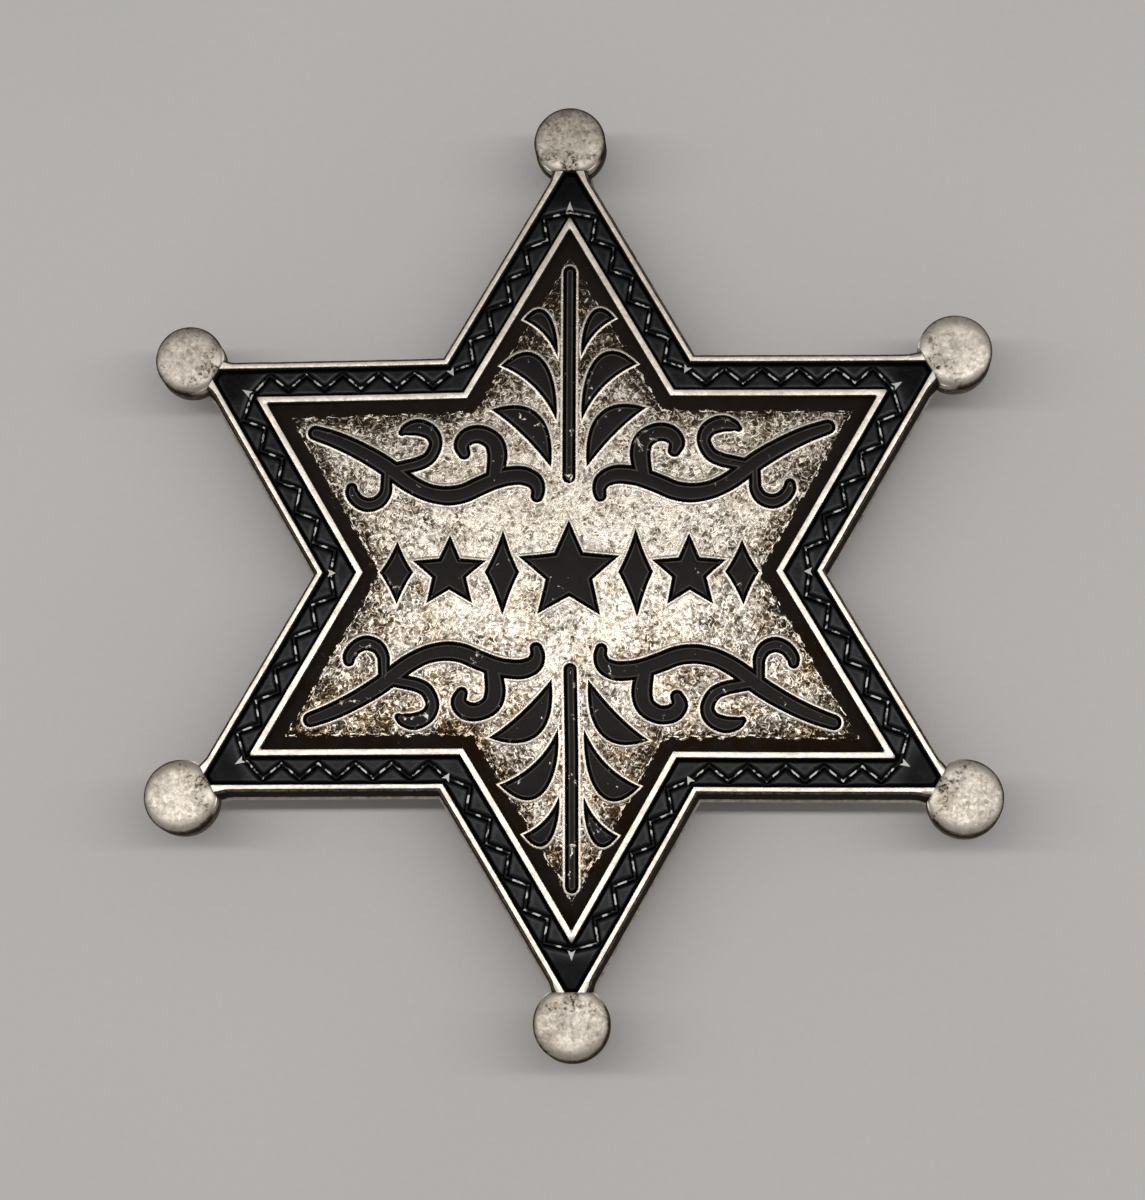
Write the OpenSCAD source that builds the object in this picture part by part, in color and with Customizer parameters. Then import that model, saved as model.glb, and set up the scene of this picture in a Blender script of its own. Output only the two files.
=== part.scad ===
// Sheriff's star badge: a cast six-pointed star with ball tips, enamelled marks and a bar pin.
// Millimetres. The badge lies face up on its pin: +Z is the face, +Y is the top point.

/* [Star] */
// Reach of a point of the plate from the centre, before the ball covers it
star_r = 35; // [32:0.1:42]
// Thickness of the plate, from its back to the top of the rims
plate_t = 3; // [2.2:0.1:4.5]
// Bevel round the outer edge of the face, measured across
edge_bevel = 0.35; // [0.2:0.05:0.6]
// Width of the flat outer rim
rim_w = 0.5; // [0.35:0.05:0.9]
// Width of the enamelled border between the two rims
border_w = 2.3; // [1.9:0.05:2.8]
// Width of the inner rim
inner_rim_w = 0.52; // [0.35:0.05:0.9]

/* [Ball tips] */
// Diameter of a ball tip seen from the front
ball_d = 5.8; // [4.5:0.1:7]
// How far a ball's centre lies inside the reach of the point
ball_inset = 0.2; // [0:0.1:1]
// Height of the ball's crown above the rims
ball_over = 0.35; // [0:0.05:0.8]
// How much a ball is domed on each face
ball_dome = 0.65; // [0.3:0.05:1]

/* [Border] */
// Depth of the border's floor below the rims
border_depth = 0.85; // [0.6:0.05:1.2]
// Height of the raised zigzag above the border's floor
zigzag_h = 0.5; // [0.3:0.05:0.58]
// Width of the raised zigzag
zigzag_w = 0.22; // [0.15:0.01:0.35]
// Distance from a rim to the corners of the zigzag
zigzag_inset = 0.56; // [0.4:0.02:0.7]
// Outer corners of the zigzag along one side of a point
zigzag_corners = 6; // [4:1:7]
// Distance from the inner rim's point to the zigzag's last corner
zigzag_tip_gap = 0.35; // [0.25:0.05:0.6]
// Length of the raised arrowhead at each point
arrow_l = 0.8; // [0.5:0.05:1.2]
// Width of the raised arrowhead
arrow_w = 0.7; // [0.5:0.05:0.9]
// How far the arrowhead at each notch starts outside the corner of the zigzag there
notch_arrow_out = 0.2; // [0:0.05:0.3]
// Thickness of the border's enamel
border_enamel_t = 0.36; // [0.2:0.02:0.5]

/* [Field] */
// Fall of the domed field from its centre to its points
field_rise = 0.9; // [0.6:0.05:1.3]
// Height of the field's centre above the rims
field_over = 0.05; // [0:0.05:0.3]
// Depth of the engraved marks
mark_depth = 0.5; // [0.35:0.05:0.7]
// How far the enamel in a mark lies below the field
fill_drop = 0.1; // [0.05:0.01:0.16]
// Gap between a piece of enamel and the metal round it
fill_gap = 0.03; // [0.02:0.01:0.05]

/* [Ornament] */
// Width of the two straight stems
stem_w = 1; // [0.7:0.05:1.2]
// Widest part of a scroll's stroke
scroll_w = 1.56; // [1.2:0.02:1.7]

/* [Pin] */
// Height of the pin, from the surface it lies on to its base strip's face
pin_h = 3.4; // [3:0.1:5]
// Length of the base strip
pin_l = 32; // [26:0.5:38]
// Width of the base strip and of its two feet
pin_w = 5.2; // [4:0.1:7]
// Thickness of the base strip
strip_t = 0.8; // [0.6:0.05:1.2]
// Length of the foot that holds the wire, and of the catch
foot_l = 4.2; // [3.5:0.1:6]
// Diameter of the pin wire
wire_d = 0.9; // [0.7:0.05:1.1]
// Clearance round the wire in the catch
catch_gap = 0.15; // [0.1:0.05:0.3]
// Thickness of the adhesive film between the base strip and the plate
seat_gap = 0.05; // [0.02:0.01:0.1]

/* [Hidden] */
// Heights
back_z = pin_h + seat_gap;
rim_z = back_z + plate_t;
floor_z = rim_z - border_depth;
field_z = rim_z + field_over;
// Half of each star's reach is the distance of its sides from the centre
rim_r = star_r - 2 * edge_bevel;
border_r = rim_r - 2 * rim_w;
inner_rim_r = border_r - 2 * border_w;
field_r = inner_rim_r - 2 * inner_rim_w;
ball_reach = star_r - ball_inset;
// The border stops at the neck of the ball
neck_cover = 0.2;
border_end_r = ball_reach - ball_d / 2 + neck_cover;
// The field's dome is the top of a sphere
dome_r = (field_r * field_r + field_rise * field_rise) / (2 * field_rise);
DOME_TILT = 10;
// A cutter runs this far past the face that it opens
past = 1;

POINTS = [for (k = [0:5]) 90 + 60 * k];
QUARTERS = [
    // name, side of X, side of Y
    ["upper_right", 1, 1],
    ["upper_left", -1, 1],
    ["lower_left", -1, -1],
    ["lower_right", 1, -1]
];
HALVES = [
    // name, side of Y
    ["upper", 1],
    ["lower", -1]
];
SIDES = [
    // name, side of X
    ["right", 1],
    ["left", -1]
];

// Lengths in the tables below are shares of the field's reach

STEM = [
    // inner end, outer end
    0.256, 0.895
];

// Leaves of one quarter, from the innermost out: each edge is a curve between the base and the tip.
// x is measured from the side of the stem.
LEAVES = [
    // base x, y   shoulder x, y   brow x, y      tip x, y       belly x, y
    [0.033, 0.303, 0.018, 0.462, 0.098, 0.509, 0.202, 0.469, 0.119, 0.415],
    [0.018, 0.440, 0.009, 0.592, 0.076, 0.704, 0.175, 0.599, 0.065, 0.552],
    [0.016, 0.628, 0.011, 0.722, 0.052, 0.819, 0.112, 0.736, 0.045, 0.704]
];

// Strokes of one scroll. Each row is a point on the middle of the stroke, and the stroke's width
// there as a share of the widest stroke.
SCROLL_STEM = [
    // x, y, width
    [0.727, 0.415, 0.76],
    [0.666, 0.393, 0.86],
    [0.598, 0.360, 0.92],
    [0.527, 0.317, 0.98],
    [0.460, 0.266, 0.94],
    [0.413, 0.240, 0.92],
    [0.378, 0.229, 0.94],
    [0.340, 0.225, 0.98],
    [0.298, 0.231, 0.98],
    [0.253, 0.250, 0.98],
    [0.205, 0.268, 0.97],
    [0.165, 0.276, 0.97],
    [0.127, 0.276, 0.97],
    [0.097, 0.261, 0.88],
    [0.087, 0.237, 0.72],
    [0.090, 0.217, 0.62]
];
SCROLL_UPPER_CURL = [
    // x, y, width
    [0.492, 0.306, 0.62],
    [0.462, 0.312, 0.62],
    [0.427, 0.320, 0.64],
    [0.397, 0.337, 0.63],
    [0.380, 0.375, 0.62],
    [0.394, 0.407, 0.71],
    [0.430, 0.423, 0.79],
    [0.463, 0.418, 0.58],
    [0.477, 0.410, 0.30]
];
SCROLL_LOWER_CURL = [
    // x, y, width
    [0.520, 0.299, 0.52],
    [0.521, 0.264, 0.52],
    [0.523, 0.236, 0.57],
    [0.540, 0.210, 0.64],
    [0.571, 0.200, 0.68],
    [0.600, 0.212, 0.64],
    [0.617, 0.235, 0.61],
    [0.619, 0.250, 0.50]
];
SCROLL_INNER_CURL = [
    // x, y, width
    [0.214, 0.268, 0.78],
    [0.206, 0.304, 0.90],
    [0.203, 0.343, 0.96],
    [0.215, 0.377, 0.93],
    [0.250, 0.397, 0.87],
    [0.286, 0.393, 0.86],
    [0.305, 0.369, 0.77],
    [0.298, 0.345, 0.58]
];
SCROLL = [SCROLL_STEM, SCROLL_UPPER_CURL, SCROLL_LOWER_CURL, SCROLL_INNER_CURL];

// The centre row: a star in the middle, and on each side a lozenge, a smaller star and an end lozenge
CENTRE_STAR_R = 0.148;
SIDE_STAR = [
    // x, reach
    0.336, 0.108
];
LOZENGE = [
    // x, width, height
    0.187, 0.096, 0.246
];
END_LOZENGE = [
    // x, width, height
    0.484, 0.094, 0.180
];
// How far a lozenge's sides draw in, and the notches of a small star as a share of its reach
LOZENGE_WAIST = 0.15;
STAR_NOTCH = 0.46;

// Curves are drawn with this many steps between two points of a table
CURVE_STEPS = 3;
LEAF_STEPS = 8;
CAP_STEPS = 6;

SILVER = "#b9b3a6";
BORDER_ENAMEL = "#1c1d22";
FILL_ENAMEL = "#241f1c";
STEEL = "#a7a9ab";

function unit(v) = v / norm(v);
function turn(p, a) = [p[0] * cos(a) - p[1] * sin(a), p[0] * sin(a) + p[1] * cos(a)];
function reversed(list) = [for (i = [len(list) - 1:-1:0]) list[i]];
function signed_area(p) =
    let (n = len(p), terms = [for (i = [0:n - 1]) cross(p[i], p[(i + 1) % n])])
    terms * [for (t = terms) 0.5];

// A closed outline moved outwards by d, with mitred corners
function grow(p, d) =
    let (n = len(p), out = sign(signed_area(p)) * d)
    [for (i = [0:n - 1])
        let (
            u = unit(p[i] - p[(i + n - 1) % n]),
            v = unit(p[(i + 1) % n] - p[i]),
            nu = [u[1], -u[0]],
            nv = [v[1], -v[0]]
        )
        p[i] + out * (nu + nv) / (1 + nu * nv)];

// Corners of a regular six-pointed star of reach r
function six_star(r) = [for (i = [0:11]) let (q = i % 2 == 0 ? r : r / sqrt(3))
    turn([q, 0], 90 + 30 * i)];

// Corners of a five-pointed star of reach r
function five_star(r) = [for (i = [0:9]) turn([i % 2 == 0 ? r : r * STAR_NOTCH, 0], 90 + 36 * i)];

// A lozenge with hollow sides
function lozenge(w, h) =
    let (corners = [[w / 2, 0], [0, h / 2], [-w / 2, 0], [0, -h / 2]])
    [for (i = [0:3], j = [0:LEAF_STEPS - 1])
        let (a = corners[i], b = corners[(i + 1) % 4], m = (a + b) / 2 * (1 - LOZENGE_WAIST))
        quadratic(a, m, b, j / LEAF_STEPS)];

function quadratic(a, b, c, t) = (1 - t) * (1 - t) * a + 2 * t * (1 - t) * b + t * t * c;
function cubic(a, b, c, d, t) =
    pow(1 - t, 3) * a + 3 * t * pow(1 - t, 2) * b + 3 * t * t * (1 - t) * c + pow(t, 3) * d;

// A smooth curve through the rows of a table
function through(rows, i, t) =
    let (
        n = len(rows) - 1,
        a = rows[max(i - 1, 0)],
        b = rows[i],
        c = rows[min(i + 1, n)],
        d = rows[min(i + 2, n)]
    )
    0.5 * (2 * b + (c - a) * t + (2 * a - 5 * b + 4 * c - d) * t * t
        + (3 * b - a - 3 * c + d) * pow(t, 3));
function smooth(rows) = concat(
    [for (i = [0:len(rows) - 2], j = [0:CURVE_STEPS - 1]) through(rows, i, j / CURVE_STEPS)],
    [rows[len(rows) - 1]]
);

// Outline of a stroke with round ends: rows are x, y and width
function stroke(rows) =
    let (
        line = smooth(rows),
        last = len(line) - 1,
        along = [for (i = [0:last])
            let (a = line[max(i - 1, 0)], b = line[min(i + 1, last)]) unit([b[0] - a[0], b[1] - a[1]])],
        side = [for (i = [0:last]) [-along[i][1], along[i][0]] * line[i][2] / 2],
        place = [for (r = line) [r[0], r[1]]]
    )
    concat(
        [for (i = [0:last]) place[i] - side[i]],
        [for (j = [1:CAP_STEPS - 1]) place[last] - turn(side[last], 180 * j / CAP_STEPS)],
        [for (i = [last:-1:0]) place[i] + side[i]],
        [for (j = [1:CAP_STEPS - 1]) place[0] + turn(side[0], 180 * j / CAP_STEPS)]
    );

function scroll_rows(rows) = [for (r = rows) [r[0] * field_r, r[1] * field_r, r[2] * scroll_w]];

function leaf(row) =
    let (
        edge = stem_w / 2,
        p = [for (i = [0:4]) [edge + row[2 * i] * field_r, row[2 * i + 1] * field_r]]
    )
    concat(
        [for (j = [0:LEAF_STEPS - 1]) cubic(p[0], p[1], p[2], p[3], j / LEAF_STEPS)],
        [for (j = [0:LEAF_STEPS - 1]) quadratic(p[3], p[4], p[0], j / LEAF_STEPS)]
    );

function stem() = stroke([
    [0, STEM[0] * field_r + stem_w / 2, stem_w],
    [0, STEM[1] * field_r - stem_w / 2, stem_w]
]);

function centre_star() = five_star(CENTRE_STAR_R * field_r);
function side_star(s) =
    [for (p = five_star(SIDE_STAR[1] * field_r)) p + [s[1] * SIDE_STAR[0] * field_r, 0]];
function row_lozenge(row, s) =
    [for (p = lozenge(row[1] * field_r, row[2] * field_r)) p + [s[1] * row[0] * field_r, 0]];
function centre_row() = concat(
    [centre_star()],
    [for (s = SIDES) side_star(s)],
    [for (s = SIDES) row_lozenge(LOZENGE, s)],
    [for (s = SIDES) row_lozenge(END_LOZENGE, s)]
);

// Middle of the zigzag, from one notch of the star up to the next point, on the side that comes
// first going round. The X axis runs out to the point.
side_normal = [0.5, sqrt(3) / 2];
side_along = [sqrt(3) / 2, -0.5];
outer_d = border_r / 2 - zigzag_inset;
inner_d = inner_rim_r / 2 + zigzag_inset;
zigzag_tip = [inner_rim_r + zigzag_tip_gap, 0];
zigzag_start = outer_d / sqrt(3);
// The last leg, up to the point, takes half a pitch
zigzag_pitch = (zigzag_tip * side_along - zigzag_start) / (zigzag_corners - 0.5);
function zigzag_run() = [for (j = [0:2 * (zigzag_corners - 1)])
    (j % 2 == 0 ? outer_d : inner_d) * side_normal
        + (zigzag_start + j * zigzag_pitch / 2) * side_along];
function mirrored_y(p) = [p[0], -p[1]];
function zigzag() = [for (a = POINTS)
    let (run = zigzag_run(), up = [for (i = [1:len(run) - 1]) mirrored_y(run[i])])
    for (p = concat(up, [zigzag_tip], reversed(run))) turn(p, a)];

function arrowhead() = [
    zigzag_tip + [0, -arrow_w / 2],
    zigzag_tip + [arrow_l, 0],
    zigzag_tip + [0, arrow_w / 2]
];

// The arrowhead at a notch points inwards, over the corner of the zigzag there. The X axis runs out to
// the notch.
notch_arrow_base = outer_d / cos(30) + notch_arrow_out;
function notch_arrowhead() = [
    [notch_arrow_base, arrow_w / 2],
    [notch_arrow_base - arrow_l, 0],
    [notch_arrow_base, -arrow_w / 2]
];

module six_star_area(r) {
    polygon(six_star(r));
}

// The border between the rims and up to the necks of the balls, smaller by g on all sides
module border_area(g = 0) {
    difference() {
        intersection() {
            six_star_area(border_r - 2 * g);
            circle(r = (border_end_r - g) / cos(30), $fn = 6);
        }
        six_star_area(inner_rim_r + 2 * g);
    }
}

// The arrowheads, larger by g on all sides
module arrowheads(g = 0) {
    for (a = POINTS) {
        rotate(a)
            polygon(grow(arrowhead(), g));
        rotate(a + 30)
            polygon(grow(notch_arrowhead(), g));
    }
}

// The raised zigzag and its arrowheads, seen from the front
module zigzag_area() {
    difference() {
        polygon(grow(zigzag(), zigzag_w / 2));
        polygon(grow(zigzag(), -zigzag_w / 2));
    }
    arrowheads();
}

// The part of a mark below the face: from depth_low up to depth_high under the domed field, and
// nowhere below base
module under_field(depth_low, depth_high, base) {
    difference() {
        intersection() {
            translate([0, 0, base])
                linear_extrude(border_depth + 3 * past)
                    children();
            dome(depth_high);
        }
        dome(depth_low);
    }
}

// The sphere of the dome, with its pole turned away from the field
module dome(depth) {
    translate([0, 0, field_z - dome_r])
        rotate([DOME_TILT, 0, 0])
            sphere(r = dome_r - depth, $fn = 360);
}

// The enamel in a mark. The plate under the field isn't cut, so the enamel ends above it.
module fill_under_field() {
    under_field(mark_depth - fill_gap, fill_drop, floor_z + fill_gap)
        children();
}

module mark_fill(outline) {
    color(FILL_ENAMEL)
        fill_under_field()
            outline_area(outline, -fill_gap);
}

module outline_area(outline, g) {
    polygon(grow(outline, g));
}

module scroll_area(g) {
    for (rows = SCROLL)
        outline_area(stroke(scroll_rows(rows)), g);
}

module quarter(q) {
    mirror([q[1] < 0 ? 1 : 0, 0])
        mirror([0, q[2] < 0 ? 1 : 0])
            children();
}

module half(h) {
    mirror([0, h[1] < 0 ? 1 : 0])
        children();
}

// All marks that are cut into the field
module marks_area() {
    for (q = QUARTERS)
        quarter(q) {
            scroll_area(0);
            for (row = LEAVES)
                outline_area(leaf(row), 0);
        }
    for (h = HALVES)
        half(h)
            outline_area(stem(), 0);
    for (outline = centre_row())
        outline_area(outline, 0);
}

// A flattened ball with a low dome on each face
module ball_tip() {
    top_z = rim_z + ball_over;
    sphere_r = (pow(ball_d / 2, 2) + ball_dome * ball_dome) / (2 * ball_dome);
    intersection() {
        translate([0, 0, back_z])
            cylinder(d = ball_d, h = top_z - back_z, $fn = 96);
        translate([0, 0, top_z - sphere_r])
            rotate([90, 0, 0])
                sphere(r = sphere_r, $fn = 96);
        translate([0, 0, back_z + sphere_r])
            rotate([90, 0, 0])
                sphere(r = sphere_r, $fn = 96);
    }
}

module plate() {
    translate([0, 0, back_z])
        linear_extrude(plate_t - edge_bevel)
            six_star_area(star_r);
    translate([0, 0, rim_z - edge_bevel])
        linear_extrude(edge_bevel, scale = rim_r / star_r)
            six_star_area(star_r);
    for (a = POINTS)
        rotate(a)
            translate([ball_reach, 0, 0])
                ball_tip();
}

module star_casting() {
    color(SILVER) {
        difference() {
            plate();
            translate([0, 0, floor_z])
                linear_extrude(border_depth + past)
                    border_area();
            translate([0, 0, floor_z])
                linear_extrude(border_depth + past)
                    six_star_area(field_r);
        }
        translate([0, 0, floor_z - past / 2])
            linear_extrude(zigzag_h + past / 2)
                zigzag_area();
        difference() {
            intersection() {
                translate([0, 0, floor_z - past / 2])
                    linear_extrude(border_depth + past)
                        six_star_area(field_r);
                dome(0);
            }
            under_field(mark_depth, -past, floor_z - past)
                marks_area();
        }
    }
}

module border_enamel_outer() {
    color(BORDER_ENAMEL)
        translate([0, 0, floor_z + fill_gap])
            linear_extrude(border_enamel_t)
                difference() {
                    border_area(fill_gap);
                    polygon(grow(zigzag(), zigzag_w / 2 + fill_gap));
                    arrowheads(fill_gap);
                }
}

module border_enamel_inner() {
    color(BORDER_ENAMEL)
        translate([0, 0, floor_z + fill_gap])
            linear_extrude(border_enamel_t)
                difference() {
                    polygon(grow(zigzag(), -zigzag_w / 2 - fill_gap));
                    six_star_area(inner_rim_r + 2 * fill_gap);
                    arrowheads(fill_gap);
                }
}

module stem_fill(h) {
    half(h)
        mark_fill(stem());
}

module leaf_fill(q, i) {
    quarter(q)
        mark_fill(leaf(LEAVES[i - 1]));
}

module scroll_fill(q) {
    color(FILL_ENAMEL)
        quarter(q)
            fill_under_field()
                scroll_area(-fill_gap);
}

module centre_star_fill() {
    mark_fill(centre_star());
}

module side_star_fill(s) {
    mark_fill(side_star(s));
}

module lozenge_fill(s) {
    mark_fill(row_lozenge(LOZENGE, s));
}

module end_lozenge_fill(s) {
    mark_fill(row_lozenge(END_LOZENGE, s));
}

// The bar pin: a base strip, a foot that holds the wire, the closed wire and an open catch
module pin_back() {
    foot_x = pin_l / 2 - foot_l / 2;
    wire_z = (pin_h - strip_t) / 2;
    wire_end_x = foot_x + foot_l / 2;
    point_l = 2 * wire_d;
    slot_h = wire_d + 2 * catch_gap;
    color(STEEL) {
        translate([-pin_l / 2, -pin_w / 2, pin_h - strip_t])
            cube([pin_l, pin_w, strip_t]);
        translate([-foot_x - foot_l / 2, -pin_w / 2, 0])
            cube([foot_l, pin_w, pin_h - strip_t / 2]);
        difference() {
            translate([foot_x - foot_l / 2, -pin_w / 2, 0])
                cube([foot_l, pin_w, pin_h - strip_t / 2]);
            translate([foot_x - foot_l / 2 - past, -slot_h / 2, wire_z - slot_h / 2])
                cube([foot_l + 2 * past, pin_w, slot_h]);
        }
        translate([-foot_x, 0, wire_z])
            rotate([0, 90, 0]) {
                cylinder(d = wire_d, h = foot_x + wire_end_x - point_l, $fn = 48);
                translate([0, 0, foot_x + wire_end_x - point_l])
                    cylinder(d1 = wire_d, d2 = wire_d / 5, h = point_l, $fn = 48);
            }
    }
}

star_casting();
border_enamel_outer();
border_enamel_inner();
for (h = HALVES)
    stem_fill(h);
for (q = QUARTERS, i = [1:len(LEAVES)])
    leaf_fill(q, i);
for (q = QUARTERS)
    scroll_fill(q);
centre_star_fill();
for (s = SIDES)
    side_star_fill(s);
for (s = SIDES)
    lozenge_fill(s);
for (s = SIDES)
    end_lozenge_fill(s);
pin_back();
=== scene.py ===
import math
from functools import partial

import bmesh
import bpy
import numpy as np
from bpy.props import FloatProperty, FloatVectorProperty, IntProperty, PointerProperty
from mathutils import Matrix, Vector


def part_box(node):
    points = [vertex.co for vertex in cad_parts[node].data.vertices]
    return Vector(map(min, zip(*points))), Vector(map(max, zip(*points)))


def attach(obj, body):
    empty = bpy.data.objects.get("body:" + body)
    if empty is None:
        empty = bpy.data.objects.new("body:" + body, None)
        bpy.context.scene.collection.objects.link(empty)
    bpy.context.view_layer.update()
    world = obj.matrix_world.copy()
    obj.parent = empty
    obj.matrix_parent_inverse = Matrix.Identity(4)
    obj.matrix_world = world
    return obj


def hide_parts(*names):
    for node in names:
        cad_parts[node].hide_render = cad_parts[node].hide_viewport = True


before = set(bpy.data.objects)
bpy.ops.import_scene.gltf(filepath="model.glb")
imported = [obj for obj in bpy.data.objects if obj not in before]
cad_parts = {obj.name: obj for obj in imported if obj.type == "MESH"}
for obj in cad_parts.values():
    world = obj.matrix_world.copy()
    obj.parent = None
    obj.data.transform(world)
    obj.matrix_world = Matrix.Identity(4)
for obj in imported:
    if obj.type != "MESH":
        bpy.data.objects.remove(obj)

bl_info = {
    "name": "Six-pointed star badge",
    "version": (1, 0, 0),
    "blender": (4, 5, 0),
    "location": "View3D > Sidebar > Star badge",
    "description": "Models an antique silver star badge with ball tips, enamel and engraved marks",
    "category": "Mesh",
}

MM = 0.001
QUARTERS = {"upper_right": (1, 1), "upper_left": (-1, 1), "lower_left": (-1, -1), "lower_right": (1, -1)}
HALVES = {"upper": (1, 1), "lower": (1, -1)}
SIDES = {"right": (1, 1), "left": (-1, 1)}
POINT_ANGLES = [math.radians(90 + 60 * k) for k in range(6)]
CAST_LOW, CAST_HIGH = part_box("star_casting")

# How far the sharp points are cut off
POINT_CUT = 0.14 * MM
# Height of the unevenness of the cast surfaces
CAST_WAVES = 0.05 * MM
# How much further in than its width says the outer rim ends
RIM_SHIFT = 0.08 * MM
# How far past a ball's inner edge the border ends
BALL_OVERLAP = 0.45 * MM

# Tables of the ornament, with lengths as shares of the field's reach
# Inner and outer end of a stem
STEM = (0.256, 0.895)
# Leaves of one quarter, innermost first: base, shoulder, brow, tip and belly, x from the stem's side
LEAVES = (
    ((0.033, 0.303), (0.018, 0.462), (0.098, 0.509), (0.202, 0.469), (0.119, 0.415)),
    ((0.018, 0.440), (0.009, 0.592), (0.076, 0.704), (0.175, 0.599), (0.065, 0.552)),
    ((0.016, 0.628), (0.011, 0.722), (0.052, 0.819), (0.112, 0.736), (0.045, 0.704)),
)
# Strokes of a scroll: x, y, and the width as a share of the widest stroke
SCROLL = (
    (
        (0.727, 0.415, 0.76), (0.666, 0.393, 0.86), (0.598, 0.360, 0.92), (0.527, 0.317, 0.98),
        (0.460, 0.266, 0.94), (0.413, 0.240, 0.92), (0.378, 0.229, 0.94), (0.340, 0.225, 0.98),
        (0.298, 0.231, 0.98), (0.253, 0.250, 0.98), (0.205, 0.268, 0.97), (0.165, 0.276, 0.97),
        (0.127, 0.276, 0.97), (0.097, 0.261, 0.88), (0.087, 0.237, 0.72), (0.090, 0.217, 0.62),
    ),
    (
        (0.492, 0.306, 0.69), (0.462, 0.312, 0.69), (0.427, 0.320, 0.71), (0.397, 0.337, 0.70),
        (0.380, 0.375, 0.69), (0.394, 0.407, 0.78), (0.430, 0.423, 0.86), (0.463, 0.418, 0.65),
        (0.477, 0.410, 0.37),
    ),
    (
        (0.520, 0.299, 0.59), (0.521, 0.264, 0.59), (0.523, 0.236, 0.64), (0.540, 0.210, 0.71),
        (0.571, 0.200, 0.75), (0.600, 0.212, 0.71), (0.617, 0.235, 0.68), (0.619, 0.250, 0.57),
    ),
    (
        (0.214, 0.268, 0.85), (0.206, 0.304, 0.97), (0.203, 0.343, 1.03), (0.215, 0.377, 1.00),
        (0.250, 0.397, 0.94), (0.286, 0.393, 0.93), (0.305, 0.369, 0.84), (0.298, 0.345, 0.65),
    ),
)
# The centre row: place along the row and reach of a star, and place, width and height of a lozenge
CENTRE_STAR = (0.0, 0.148)
SIDE_STAR = (0.336, 0.108)
LOZENGE = (0.187, 0.096, 0.246)
END_LOZENGE = (0.484, 0.094, 0.180)
LOZENGE_WAIST = 0.15
STAR_NOTCH = 0.46
# How far each corner of the star lies off its true place as cast, X and Y in millimetres, from the top point
# anticlockwise every 30 degrees, with a notch after each point
OFF_TRUE = (
    (0.0, -0.07), (-0.03, 0.07), (0.1, -0.12), (-0.06, 0.11), (0.05, 0.09), (-0.12, 0.1),
    (0.27, -0.16), (0.05, -0.21), (0.32, -0.34), (0.07, -0.02), (0.09, -0.01), (-0.08, 0.12),
)
# The ball tips as cast, the top one first and then anticlockwise: shift in X and Y in millimetres, share of
# the full width, and how much darker the whole ball is
TIPS = (
    (0.0, -0.14, 0.975, 0.15), (0.13, -0.17, 0.93, 0.1), (0.12, 0.0, 0.99, 0.03),
    (0.27, -0.08, 1.01, 0.06), (0.24, -0.33, 1.02, 0.04), (0.02, -0.1, 1.0, 0.02),
)


def linear(code):
    """A colour written as sRGB hex, as linear numbers."""
    parts = [int(code[i:i + 2], 16) / 255 for i in (1, 3, 5)]
    return tuple(c / 12.92 if c <= 0.04045 else ((c + 0.055) / 1.055) ** 2.4 for c in parts)


def length(name, description, millimetres):
    return FloatProperty(
        name=name, description=description, default=millimetres * MM, min=0, precision=5,
        unit="LENGTH", subtype="DISTANCE")


def colour(name, description, code):
    return FloatVectorProperty(
        name=name, description=description, default=linear(code), min=0, max=1, size=3, subtype="COLOR")


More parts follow.
